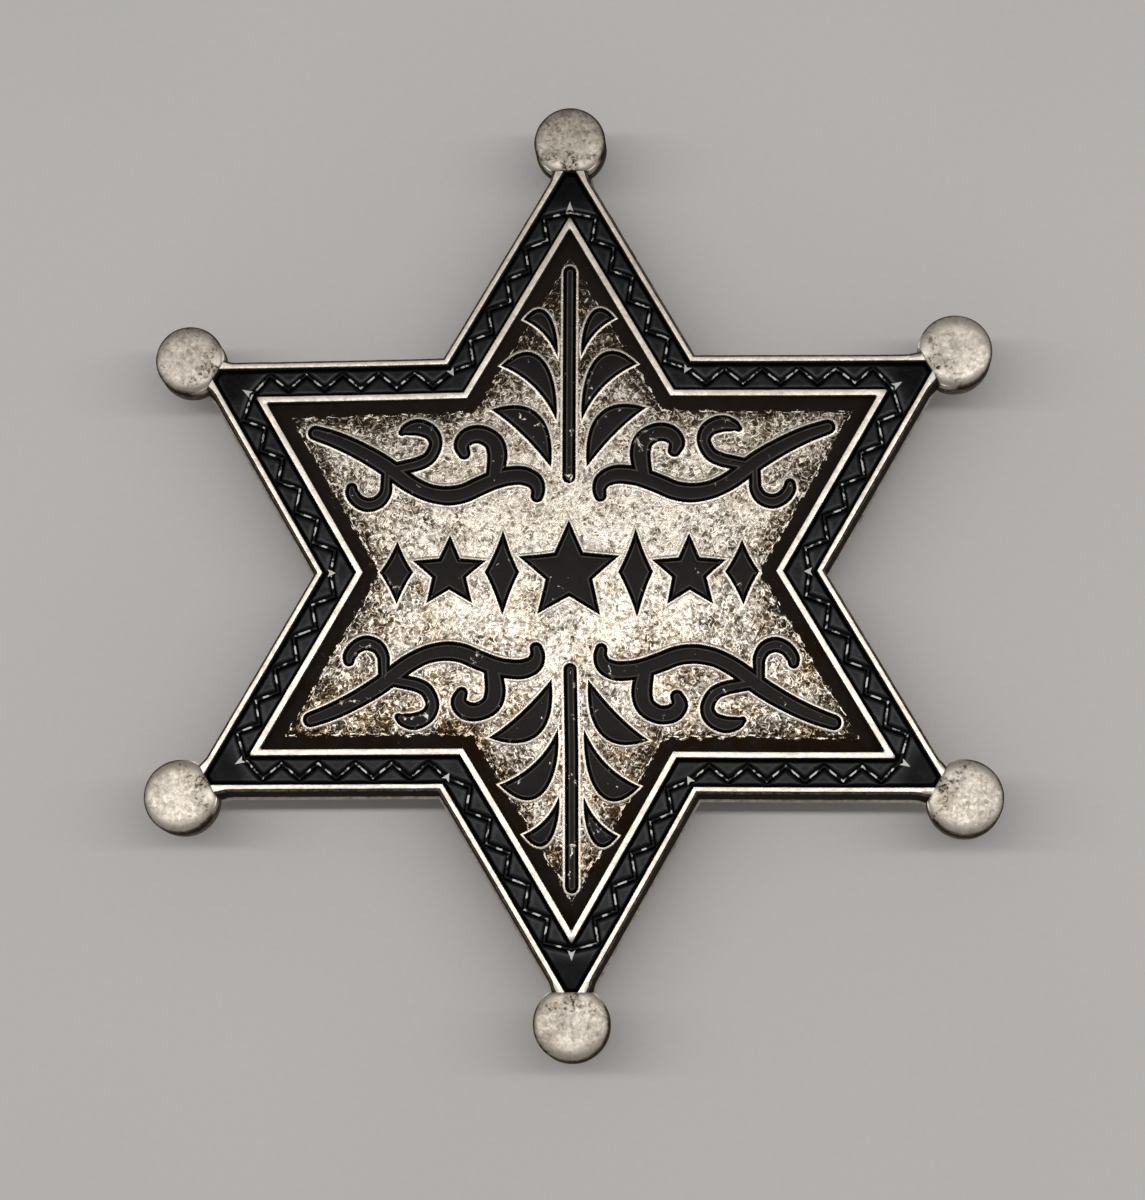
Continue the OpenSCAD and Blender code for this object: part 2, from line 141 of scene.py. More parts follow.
class BadgeSizes(bpy.types.PropertyGroup):
    star_reach: length("Star reach", "From the centre to the corner of a point, under its ball", 35)
    edge_bevel: length("Edge bevel", "Bevel round the outer edge of the face", 0.35)
    rim_width: length("Outer rim", "Width of the outer rim", 0.5)
    border_width: length("Border", "Width of the border between the rims", 2.3)
    inner_rim_width: length("Inner rim", "Width of the inner rim", 0.52)
    border_depth: length("Border depth", "Depth of the border's floor below the rims", 0.85)
    ball_width: length("Ball width", "Width of a ball tip seen from the front", 5.8)
    ball_inset: length("Ball inset", "How far a ball's centre lies inside the reach of its point", 0.2)
    ball_over: length("Ball rise", "Height of a ball's crown above the rims", 0.35)
    ball_dome: length("Ball dome", "How much a ball is domed on each face", 0.65)
    ridge_width: length("Zigzag width", "Width of the raised zigzag", 0.22)
    ridge_height: length("Zigzag height", "Height of the zigzag above the border's floor", 0.5)
    ridge_inset: length("Zigzag inset", "From a rim to the corners of the zigzag", 0.56)
    ridge_tip_gap: length("Zigzag tip gap", "From the inner rim's point to the zigzag's last corner", 0.35)
    ridge_corners: IntProperty(
        name="Zigzag corners", description="Outer corners along one side of a point", default=6, min=3, max=9)
    arrow_length: length("Arrowhead length", "Length of the arrowhead at each point", 0.8)
    arrow_width: length("Arrowhead width", "Width of the arrowhead at each point", 0.7)
    field_rise: length("Field rise", "Fall of the domed field from its centre to its points", 0.9)
    field_over: length("Field height", "Height of the field's centre above the rims", 0.05)
    mark_depth: length("Mark depth", "Depth of the engraved marks", 0.5)
    lip_width: length("Lip width", "Width of the rubbed lip round a mark", 0.15)
    lip_height: length("Lip height", "Height of the lip above the field", 0.035)
    fill_drop: length("Enamel drop", "How far the enamel in a mark lies below the field", 0.1)
    stem_width: length("Stem width", "Width of the two straight stems", 1.0)
    scroll_width: length("Scroll width", "Widest part of a scroll's stroke", 1.56)
    pin_height: length("Pin height", "From the table to the base strip's face", 3.4)
    pin_length: length("Pin length", "Length of the base strip", 32)
    pin_width: length("Pin width", "Width of the base strip and its feet", 5.2)
    strip_thickness: length("Strip thickness", "Thickness of the base strip", 0.8)
    foot_length: length("Foot length", "Length of the wire's foot and of the catch", 4.2)
    wire_width: length("Wire", "Diameter of the pin wire", 0.9)
    catch_gap: length("Catch gap", "Clearance round the wire in the catch", 0.15)

    @property
    def back(self):
        return CAST_LOW.z

    @property
    def rim_top(self):
        return CAST_HIGH.z - self.ball_over

    @property
    def floor(self):
        return self.rim_top - self.border_depth

    @property
    def field_top(self):
        return self.rim_top + self.field_over

    @property
    def border_reach(self):
        return self.star_reach - 2 * (self.edge_bevel + self.rim_width)

    @property
    def inner_rim_reach(self):
        return self.border_reach - 2 * self.border_width

    @property
    def field_reach(self):
        return self.inner_rim_reach - 2 * self.inner_rim_width

    @property
    def ball_reach(self):
        return self.star_reach - self.ball_inset

    @property
    def border_end(self):
        return self.ball_reach - self.ball_width / 2 + BALL_OVERLAP


class BadgeColours(bpy.types.PropertyGroup):
    silver: colour("Silver", "Clean silver plate", "#ddd6cb")
    dull: colour("Dull silver", "Silver with a breath of tarnish", "#b9b2a8")
    crest: colour("Crest", "Silver worn bare on the zigzag", "#a5a4a1")
    tarnish: colour("Tarnish", "Grey-brown tarnish on the silver", "#7b6f62")
    golden: colour("Golden tarnish", "The tint of a thin tarnish in patches", "#ecca86")
    brown: colour("Brown tarnish", "Thick tarnish", "#40362c")
    patina: colour("Patina", "Dark patina left in the hollows", "#241e1b")
    # Black of the zigzag's finish, also painted on the enamel's edges as painted shade
    seam: colour("Seam", "Enamel deep down at its edges", "#060607")
    border_enamel: colour("Border enamel", "Glossy enamel of the border", "#191b1f")
    mark_enamel: colour("Mark enamel", "Satin enamel in the marks", "#181210")
    nickel: colour("Nickel", "Nickel plate of the pin", "#b9b7b0")
    table: colour("Table", "Warm grey table top", "#d4d2d2")


def sizes():
    return bpy.context.scene.badge_sizes


def colours():
    return bpy.context.scene.badge_colours


def ramp(values, start, end):
    """Runs from 0 at start to 1 at end, and stays there beyond them."""
    return np.clip((values - start) / (end - start), 0, 1)


# Outlines, seen from the front


def turned(point, angle):
    """A point turned anticlockwise round the centre."""
    c, s = math.cos(angle), math.sin(angle)
    return point[0] * c - point[1] * s, point[0] * s + point[1] * c


def spaced(a, b, steps):
    """Points from a up to, but without, b."""
    return [(a[0] + (b[0] - a[0]) * i / steps, a[1] + (b[1] - a[1]) * i / steps) for i in range(steps)]


def star_loop(reach, end, side_steps, end_steps=2):
    """A six-pointed star with its points cut off square at end from the centre."""
    half = (reach - end) / math.sqrt(3)
    notch = turned((reach / math.sqrt(3), 0), math.radians(30))
    points = []
    for angle in POINT_ANGLES:
        way = spaced((notch[0], -notch[1]), (end, -half), side_steps)
        way += spaced((end, -half), (end, half), end_steps)
        way += spaced((end, half), notch, side_steps)
        points += [turned(p, angle) for p in way]
    return points


def angle_to_side(x, y):
    """The angle at the centre from a place to the middle of the line of the nearest side of the star."""
    sixth = math.pi / 3
    angle = np.arctan2(y, x) - math.pi / 2
    return sixth - np.abs(angle - np.round(angle / sixth) * sixth)


def side_distance(x, y, reach):
    """How far a place lies inside the nearest side of a six-pointed star."""
    return reach / 2 - np.hypot(x, y) * np.cos(angle_to_side(x, y))


def along_side(x, y):
    """How far a place lies from the middle of the line of its nearest side, the same in every point."""
    return np.hypot(x, y) * np.sin(angle_to_side(x, y))


def grown(points, by, longest=2.0):
    """A closed outline moved outwards, or inwards where by is negative.

    Outwards, a sharp corner goes no further than longest times by. Inwards, no place passes the middle of
    the shape.
    """
    pts = np.array(points, float)
    u = pts - np.roll(pts, 1, 0)
    v = np.roll(u, -1, 0)
    u, v = (w / np.hypot(w[:, :1], w[:, 1:]) for w in (u, v))
    n = np.stack((u[:, 1] + v[:, 1], -u[:, 0] - v[:, 0]), 1) / (1 + (u * v).sum(1))[:, None]
    n *= np.sign(np.cross(pts, np.roll(pts, -1, 0)).sum())
    stretch = np.hypot(n[:, 0], n[:, 1])
    if by > 0:
        go = by * np.minimum(1, longest / stretch)
    else:
        # The largest circle that touches the outline at each place and holds no other place of it
        apart = pts[None] - pts[:, None]
        inward = -(apart * (n / stretch[:, None])[:, None]).sum(2)
        room = np.where(inward > 1e-9, (apart ** 2).sum(2) / (2 * np.maximum(inward, 1e-9)), 1).min(1)
        go = np.maximum(by, -0.85 * room / stretch)
    return [tuple(p) for p in pts + go[:, None] * n]


def bezier(corners, steps):
    """Points on a curve with the given control points, without the last."""
    points = []
    for i in range(steps):
        line, t = [Vector(c) for c in corners], i / steps
        while len(line) > 1:
            line = [a.lerp(b, t) for a, b in zip(line, line[1:])]
        points.append(tuple(line[0]))
    return points


def smooth_rows(rows, steps):
    """Rows of numbers on a smooth curve through the given rows."""
    line, last = [], len(rows) - 1
    at = [np.array(r, float) for r in rows]
    for i in range(last):
        a, b, c, d = at[max(i - 1, 0)], at[i], at[i + 1], at[min(i + 2, last)]
        for j in range(steps):
            t = j / steps
            line.append(0.5 * (2 * b + (c - a) * t + (2 * a - 5 * b + 4 * c - d) * t ** 2
                               + (3 * b - a - 3 * c + d) * t ** 3))
    return line + [at[last]]


def stroke(rows, steps, extra):
    """Outline of a stroke with round ends: rows are x, y and width."""
    line = smooth_rows(rows, steps)
    last, cap = len(line) - 1, 8
    left, right = [], []
    for i, row in enumerate(line):
        along = Vector(line[min(i + 1, last)][:2]) - Vector(line[max(i - 1, 0)][:2])
        along.normalize()
        half = max(row[2] / 2 + extra, 0.02 * MM)
        side = Vector((-along.y, along.x)) * half
        middle = Vector(row[:2])
        left.append((middle, side))
        right.append((middle, -side))

    def round_end(middle, side):
        return [tuple(middle + Vector(turned(side, math.pi * j / cap))) for j in range(1, cap)]

    points = [tuple(m + s) for m, s in right]
    points += round_end(*right[-1])
    points += [tuple(m + s) for m, s in reversed(left)]
    points += round_end(*left[0])
    return points


# The function of each mark gives its outlines, moved outwards by extra


def stem(extra):
    s = sizes()
    low, high = (share * s.field_reach for share in STEM)
    half = s.stem_width / 2
    return [stroke([(0, low + half, s.stem_width), (0, high - half, s.stem_width)], 12, extra)]


def leaf(number, extra):
    s = sizes()
    base, shoulder, brow, tip, belly = (
        (s.stem_width / 2 + x * s.field_reach, y * s.field_reach) for x, y in LEAVES[number])
    return [grown(bezier((base, shoulder, brow, tip), 18) + bezier((tip, belly, base), 12), extra)]


def scroll(extra):
    s = sizes()
    return [stroke([(x * s.field_reach, y * s.field_reach, w * s.scroll_width) for x, y, w in rows], 4, extra)
            for rows in SCROLL]


def row_star(place, extra):
    x, reach = (share * sizes().field_reach for share in place)
    corners = [turned((reach if i % 2 == 0 else reach * STAR_NOTCH, 0), math.radians(90 + 36 * i))
               for i in range(10)]
    sides = [p for i in range(10) for p in spaced(corners[i], corners[(i + 1) % 10], 6)]
    return [grown([(px + x, py) for px, py in sides], extra)]


def row_lozenge(place, extra):
    x, width, height = (share * sizes().field_reach for share in place)
    corners = [(width / 2, 0), (0, height / 2), (-width / 2, 0), (0, -height / 2)]
    points = []
    for a, b in zip(corners, corners[1:] + corners[:1]):
        waist = tuple((p + q) / 2 * (1 - LOZENGE_WAIST) for p, q in zip(a, b))
        points += bezier((a, waist, b), 8)
    return [grown([(px + x, py) for px, py in points], extra)]


def marks():
    """Every mark as its node's name, its side of X and Y, and the function of its outlines."""
    found = [(f"stem_fill_{name}", side, stem) for name, side in HALVES.items()]
    found += [(f"leaf_fill_{name}_{i + 1}", side, partial(leaf, i))
              for name, side in QUARTERS.items() for i in range(len(LEAVES))]
    found += [(f"scroll_fill_{name}", side, scroll) for name, side in QUARTERS.items()]
    found.append(("centre_star_fill", (1, 1), partial(row_star, CENTRE_STAR)))
    for kind, shape, place in (("side_star", row_star, SIDE_STAR), ("lozenge", row_lozenge, LOZENGE),
                               ("end_lozenge", row_lozenge, END_LOZENGE)):
        found += [(f"{kind}_fill_{name}", side, partial(shape, place)) for name, side in SIDES.items()]
    return found


def zigzag_side():
    """Middle of the zigzag from a notch to a point's last corner, with the X axis out to the point."""
    s = sizes()
    outer = s.border_reach / 2 - s.ridge_inset
    inner = s.inner_rim_reach / 2 + s.ridge_inset
    normal, along = Vector((0.5, math.sqrt(3) / 2)), Vector((math.sqrt(3) / 2, -0.5))
    tip = Vector((s.inner_rim_reach + s.ridge_tip_gap, 0))
    start = outer / math.sqrt(3)
    pitch = (tip.dot(along) - start) / (s.ridge_corners - 0.5)
    run = [tuple((outer if j % 2 == 0 else inner) * normal + (start + j * pitch / 2) * along)
           for j in range(2 * s.ridge_corners - 1)]
    return run, tuple(tip)


def zigzag_loop():
    """Corners of the zigzag's middle all round the star."""
    run, tip = zigzag_side()
    points = []
    for angle in POINT_ANGLES:
        way = [(x, -y) for x, y in run[1:]] + [tip] + run[::-1]
        points += [turned(p, angle) for p in way]
    return points


def ball_place(i):
    """A ball tip's direction, centre and half width, as cast."""
    s = sizes()
    dx, dy, width_share, _ = TIPS[i]
    out = np.array(turned((1, 0), POINT_ANGLES[i]))
    return out, out * s.ball_reach + np.array((dx, dy)) * MM, s.ball_width / 2 * width_share


# Modelling


def clear_selection():
    bpy.ops.object.select_all(action="DESELECT")


def activate(*obs):
    """Selects pieces and nothing else, with the first one active."""
    clear_selection()
    for ob in obs:
        ob.select_set(True)
    bpy.context.view_layer.objects.active = obs[0]


def add_modifier(ob, kind, **settings):
    """Adds a modifier with its settings to a piece, and applies it."""
    step = ob.modifiers.new("step", kind)
    for name, value in settings.items():
        setattr(step, name, value)
    activate(ob)
    bpy.ops.object.modifier_apply(modifier=step.name)


def place_loop(ob, points, z, all_of_them):
    """Puts the selected loop's corners, or all of the first one's, on an outline at height z."""
    bm = bmesh.from_edit_mesh(ob.data)
    turn = bm.verts.layers.int.get("turn") or bm.verts.layers.int.new("turn")
    for i, v in enumerate(bm.verts):
        if all_of_them:
            v[turn] = i
        if v.select:
            v.co = (*points[v[turn]], z)
    bmesh.update_edit_mesh(ob.data)


def outline_solid(name, rows):
    """A closed solid through outlines with the same number of corners, each with its height."""
    clear_selection()
    bpy.ops.mesh.primitive_circle_add(vertices=len(rows[0][0]), radius=MM, fill_type="NGON")
    ob = bpy.context.object
    ob.name = ob.data.name = name
    bpy.ops.object.mode_set(mode="EDIT")
    bpy.ops.mesh.select_all(action="SELECT")
    place_loop(ob, *rows[0], True)
    for points, z in rows[1:]:
        bpy.ops.mesh.extrude_region_move()
        place_loop(ob, points, z, False)
    bpy.ops.mesh.select_all(action="SELECT")
    bpy.ops.mesh.normals_make_consistent(inside=False)
    bpy.ops.object.mode_set(mode="OBJECT")
    ob.data.attributes.remove(ob.data.attributes["turn"])
    return ob


def ring_solid(name, rows):
    """A closed ring through outlines with the same number of corners, from its outer foot to its inner."""
    ob = outline_solid(name, rows)
    count = len(rows[0][0])
    bpy.ops.object.mode_set(mode="EDIT")
    bpy.ops.mesh.select_all(action="DESELECT")
    bpy.ops.mesh.select_mode(type="FACE")
    bm = bmesh.from_edit_mesh(ob.data)
    for face in bm.faces:
        face.select_set(len(face.verts) == count)
    bmesh.update_edit_mesh(ob.data)
    bpy.ops.mesh.delete(type="ONLY_FACE")
    bpy.ops.mesh.select_mode(type="EDGE")
    bpy.ops.mesh.select_all(action="DESELECT")
    bpy.ops.mesh.select_non_manifold()
    bpy.ops.mesh.bridge_edge_loops()
    bpy.ops.mesh.select_all(action="SELECT")
    bpy.ops.mesh.normals_make_consistent(inside=False)
    bpy.ops.object.mode_set(mode="OBJECT")
    return ob


def mirrored(ob, name, side):
    """A copy of a piece with its own mesh, mirrored to a side of X and Y."""
    made = ob.copy()
    made.data = ob.data.copy()
    made.name = made.data.name = name
    bpy.context.scene.collection.objects.link(made)
    made.data.transform(Matrix.Diagonal((side[0], side[1], 1, 1)))
    if side[0] * side[1] < 0:
        made.data.flip_normals()
    return made


def joined(name, obs):
    """The given pieces as one."""
    activate(*obs)
    bpy.ops.object.join()
    ob = bpy.context.object
    ob.name = ob.data.name = name
    return ob


def combine(ob, tool, operation, meets_itself=False):
    """A boolean of two pieces, which uses up the second."""
    add_modifier(ob, "BOOLEAN", operation=operation, object=tool, solver="EXACT", use_self=meets_itself)
    bpy.data.meshes.remove(tool.data)


def cut_grid(ob, step, angles=(0, 90), extra_cuts=()):
    """Cuts a piece's faces along parallel lines, so that it can be curved.

    The lines lie a step apart across the directions angles, and one through the centre across each of
    extra_cuts, all in degrees.
    """
    co = coordinates(ob)
    cuts = []
    for degrees in angles:
        normal = Vector((*turned((1, 0), math.radians(degrees)), 0))
        across = co @ np.array(normal)
        first, last = math.ceil(across.min() / step), math.floor(across.max() / step)
        cuts += [(normal * i * step, normal) for i in range(first, last + 1)]
    cuts += [((0, 0, 0), (*turned((1, 0), math.radians(degrees)), 0)) for degrees in extra_cuts]
    bpy.context.view_layer.objects.active = ob
    bpy.ops.object.mode_set(mode="EDIT")
    for place, normal in cuts:
        bpy.ops.mesh.select_all(action="SELECT")
        bpy.ops.mesh.bisect(plane_co=place, plane_no=normal, threshold=1e-7)
    bpy.ops.object.mode_set(mode="OBJECT")


def coordinates(ob):
    """The places of a piece's vertices, a row each."""
    co = np.empty(len(ob.data.vertices) * 3)
    ob.data.vertices.foreach_get("co", co)
    return co.reshape(-1, 3)


def set_coordinates(ob, co):
    """Puts a piece's vertices at places, a row each."""
    ob.data.vertices.foreach_set("co", co.ravel())
    ob.data.update()


def field_drop(x, y):
    """How far the domed field has fallen at a place."""
    s = sizes()
    radius = (s.field_reach ** 2 + s.field_rise ** 2) / (2 * s.field_rise)
    return radius - np.sqrt(radius ** 2 - x ** 2 - y ** 2)


def lay_on_dome(ob):
    """Lowers a piece as far as the domed field falls."""
    co = coordinates(ob)
    co[:, 2] -= field_drop(co[:, 0], co[:, 1])
    set_coordinates(ob, co)


def roughen(ob, wave, seed):
    """Gives a cast surface its slight unevenness, in waves of the given length."""
    texture = bpy.data.textures.new(f"{ob.name}_waves", "CLOUDS")
    texture.noise_scale, texture.noise_depth = wave, 2
    # Each seed takes another part of the pattern
    away = bpy.data.objects.new(f"{ob.name}_seed", None)
    away.location = (seed * 0.013, seed * 0.007, seed * 0.003)
    add_modifier(ob, "DISPLACE", texture=texture, strength=CAST_WAVES, texture_coords="OBJECT",
                 texture_coords_object=away)
    bpy.data.objects.remove(away)
    bpy.data.textures.remove(texture)


def give_attributes(ob, **attributes):
    """Gives a piece's vertices the numbers that its material reads."""
    for name, values in attributes.items():
        attribute = ob.data.attributes.new(name, "FLOAT", "POINT")
        attribute.data.foreach_set("value", np.asarray(values, np.float32))


def as_cast(co):
    """The same points, moved as far off their true places as the corners of the star are."""
    turn = np.degrees(np.arctan2(co[:, 1], co[:, 0]))
    corners = 90 + 30 * np.arange(12)
    # The centre stays where it is, and all beyond this reach moves fully
    full_reach = 14 * MM
    share = ramp(np.hypot(co[:, 0], co[:, 1]), 0, full_reach)
    moved = co.copy()
    for axis in (0, 1):
        moved[:, axis] += MM * share * np.interp(turn, corners, [row[axis] for row in OFF_TRUE], period=360)
    return moved


def finish_piece(ob, smooth_angle, material, slot, *nodes):
    """Smooths a piece over its blunter edges, and gives it its material and its place in the frame."""
    activate(ob)
    bpy.ops.object.shade_smooth_by_angle(angle=math.radians(smooth_angle))
    ob.data.materials.clear()
    ob.data.materials.append(material)
    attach(ob, "root")
    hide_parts(*nodes)


# Materials


def fill_inputs(node, inputs):
    """Gives a node's inputs, by name or in order, their values, or links them to outputs."""
    for name, value in inputs.items() if isinstance(inputs, dict) else enumerate(inputs):
        if isinstance(value, bpy.types.NodeSocket):
            node.id_data.links.new(value, node.inputs[name])
        else:
            node.inputs[name].default_value = value


def add_node(tree, kind, inputs=(), output=0, **settings):
    """Adds a node with its settings and inputs, and returns one of its outputs."""
    made = tree.nodes.new("ShaderNode" + kind)
    for name, value in settings.items():
        setattr(made, name, value)
    fill_inputs(made, inputs)
    return made.outputs[output]


def new_material(name):
    """A material, the function that adds a node to it, its shader, and the place of the shaded point."""
    material = bpy.data.materials.new(name)
    material.use_nodes = True
    tree = material.node_tree
    tree.nodes.clear()
    node = partial(add_node, tree)
    surface = node("BsdfPrincipled")
    fill_inputs(tree.nodes.new("ShaderNodeOutputMaterial"), {"Surface": surface})
    return material, node, surface.node, node("TexCoord", output="Object")


def antique_silver(name, grain, cover, depth, leaves, shine, yellow):
    """Silver plate on cast zinc alloy, darkened all over and then rubbed bright where a cloth reaches.

    grain is the size in metres of the casting's skin, cover how much tarnish is left all over, depth how
    strongly it gathers in the skin, leaves how bright the thin crystal leaves in it are, shine the roughness
    of the clean plate, and yellow how much of the tarnish is golden. The attribute "rubbed" says where the
    cloth has reached. A second attribute says where it hasn't, and also carries painted shade, laid on in
    the same tarnish colours. "pitted" says where the casting's pits hold tarnish. Where "banded" is 1, a
    dark band runs beside the rim, and "from_rim" and "along_rim" run across and along it.
    """
    material, node, shader, place = new_material(name)
    c = colours()
    rubbed, hollow, pitted, banded, from_rim, along_rim = (
        node("Attribute", output="Fac", attribute_name=what)
        for what in ("rubbed", "hollow", "pitted", "banded", "from_rim", "along_rim"))
    skin = node("TexNoise", {"Vector": place, "Scale": 1.8 / grain, "Roughness": 0.6, "Distortion": 0.5})
    leafing = node("TexNoise", {"Vector": place, "Scale": 1.1 / grain, "Detail": 1.0, "Distortion": 0.7})
    cloud = node("TexNoise", {
        "Vector": place, "Scale": 0.16 / grain, "Detail": 3.0, "Roughness": 0.6, "Distortion": 0.5})
    # Crystal facets, each with its own tone
    bent = node("VectorMath", (leafing.node.outputs["Color"], (0.5, 0.5, 0.5)), operation="SUBTRACT")
    bent = node("VectorMath", (bent, (0.9 * grain,) * 3, place), operation="MULTIPLY_ADD")
    facets = node("TexVoronoi", {"Vector": bent, "Scale": 1.5 / grain}, "Color")
    facet = node("SeparateColor", {"Color": facets}, "Red")
    # Thin bright leaves, where the leafing noise crosses its middle
    leaf_line = node("Math", (leafing, 0.5), operation="SUBTRACT")
    leaf_line = node("Math", (leaf_line,), operation="ABSOLUTE")
    level = node("MapRange", (leaf_line, 0.01, 0.06, -leaves, 0.0), interpolation_type="SMOOTHSTEP")
    for part, weight in ((skin, 1.2), (facet, 0.4), (cloud, 0.9)):
        level = node("Math", (part, weight * depth, level), operation="MULTIPLY_ADD")
    level = node("Math", (level, cover - 1.25 * depth), operation="ADD")
    # Cast pits hold brown tarnish
    pits = node("MapRange", (skin, 0.54, 0.7, 0.0, 0.5))
    # The field's skin ends in a crumbled bright line, and the band between it and the rim is dark
    waver = node("TexNoise", {"Vector": place, "Scale": 1 / (0.7 * MM), "Detail": 3.0, "Roughness": 0.65})
    waver = node("Math", (waver, 0.9 * MM, from_rim), operation="MULTIPLY_ADD")
    band = node("MapRange", (waver, 1.48 * MM, 1.62 * MM, 0.9, 0.0))
    # The skin next to it is less rubbed
    less_rubbed = node("MapRange", (waver, 1.7 * MM, 3.0 * MM, 0.3, 0.0))
    band = node("Math", (band, less_rubbed), operation="ADD")
    off_line = node("Math", (waver, 1.58 * MM), operation="SUBTRACT")
    off_line = node("Math", (off_line,), operation="ABSOLUTE")
    line = node("MapRange", (off_line, 0.05 * MM, 0.16 * MM, -1.5, -0.2))
    # Scratches along the rim crumble the line
    across = node("Math", (from_rim, 1 / (0.13 * MM)), operation="MULTIPLY")
    along = node("Math", (along_rim, 1 / (0.7 * MM)), operation="MULTIPLY")
    apart = node("VectorMath", (place, (60.0, 85.0, 0.0)), "Value", operation="DOT_PRODUCT")
    scratch = node("TexNoise", {
        "Vector": node("CombineXYZ", (across, along)), "W": apart, "Scale": 1.0, "Detail": 3.0,
        "Roughness": 0.65, "Distortion": 0.4}, noise_dimensions="4D")
    scratch = node("MapRange", (scratch, 0.5, 0.6))
    line = node("Math", (line, scratch, band), operation="MULTIPLY_ADD")
    tarnish = level
    for part, weight in ((hollow, 1.15), (pits, pitted), (line, banded)):
        tarnish = node("Math", (part, weight, tarnish), operation="MULTIPLY_ADD")
    kept = node("MapRange", (rubbed, 0.0, 0.85, 1.0, 0.0))
    amount = node("Math", (tarnish, kept), operation="MULTIPLY", use_clamp=True)
    tone = node("ValToRGB", (amount,))
    stops = tone.node.color_ramp.elements
    stops[0].color, stops[1].color = (*c.silver, 1), (*c.patina, 1)
    for position, colour_there in ((0.3, c.dull), (0.55, c.tarnish), (0.8, c.brown)):
        stops.new(position).color = (*colour_there, 1)
    # The tarnish is golden in patches, most in the lower half
    patches = node("TexNoise", {
        "Vector": place, "Scale": 1 / (2.4 * MM), "Detail": 4.0, "Roughness": 0.7, "Distortion": 0.5})
    patches = node("MapRange", (patches, 0.42, 0.6))
    lower = node("SeparateXYZ", (place,), "Y")
    lower = node("MapRange", (lower, 2 * MM, -12 * MM, 0.7 * yellow, 1.5 * yellow))
    golden = node("Math", (patches, lower), operation="MULTIPLY")
    shown = node("Math", (amount, 0.7, 0.15), operation="MULTIPLY_ADD")
    golden = node("Math", (golden, shown), operation="MULTIPLY", use_clamp=True)
    fill_inputs(shader, {
        "Base Color": node(
            "Mix", {0: golden, 6: tone, 7: (*c.golden, 1)}, 2, data_type="RGBA", blend_type="MULTIPLY"),
        "Metallic": node("MapRange", (amount, 0.5, 0.95, 1.0, 0.1)),
        "Roughness": node("MapRange", (amount, 0.0, 1.0, shine, 0.9)),
        "Specular IOR Level": 0.1,
        "Normal": node("Bump", {"Height": level, "Distance": 0.02 * MM, "Strength": 0.6}, invert=True)})
    return material


def zigzag_silver(name):
    """The zigzag under its black finish, worn through to silver along its crest in dashes."""
    material, node, shader, place = new_material(name)
    c = colours()
    worn = node("TexNoise", {"Vector": place, "Scale": 1 / (0.5 * MM)})
    rubbed = node("Attribute", output="Fac", attribute_name="rubbed")
    both = node("Math", (worn, rubbed), operation="ADD")
    bright = node("MapRange", (both, 1.36, 1.5), interpolation_type="SMOOTHSTEP")
    tone = node("Mix", {0: bright, 6: (*c.seam, 1), 7: (*c.crest, 1)}, 2, data_type="RGBA")
    fill_inputs(shader, {
        "Base Color": tone, "Metallic": bright, "Roughness": 0.42, "Specular IOR Level": 0.1})
    return material


def border_enamel(name):
    """Glossy black enamel with a blue cast, poured and cured, so its surface is smooth and a little wavy."""
    material, node, shader, place = new_material(name)
    c = colours()
    wave = node("TexNoise", {"Vector": place, "Scale": 1 / (1.2 * MM)})
    dust = node("TexNoise", {"Vector": place, "Scale": 1 / (0.25 * MM), "Detail": 3.0, "Roughness": 0.7})
    specks = node("MapRange", (dust, 0.70, 0.78), interpolation_type="SMOOTHSTEP")
    # Painted shade and sheen: black at the edges where the attribute crown is low, and the enamel's own
    # colour with more gloss where it is high
    crown = node("Attribute", output="Fac", attribute_name="crown")
    body = node("Mix", {0: crown, 6: (*c.seam, 1), 7: (*c.border_enamel, 1)}, 2, data_type="RGBA")
    fill_inputs(shader, {
        "Base Color": node("Mix", {0: specks, 6: body, 7: (*c.tarnish, 1)}, 2, data_type="RGBA"),
        "Roughness": node("MapRange", (wave, 0.0, 1.0, 0.2, 0.4)),
        "Specular IOR Level": node("MapRange", (crown, 0.0, 1.0, 0.03, 0.25)),
        "Normal": node("Bump", {"Height": wave, "Distance": 0.08 * MM, "Strength": 0.5})})
    return material


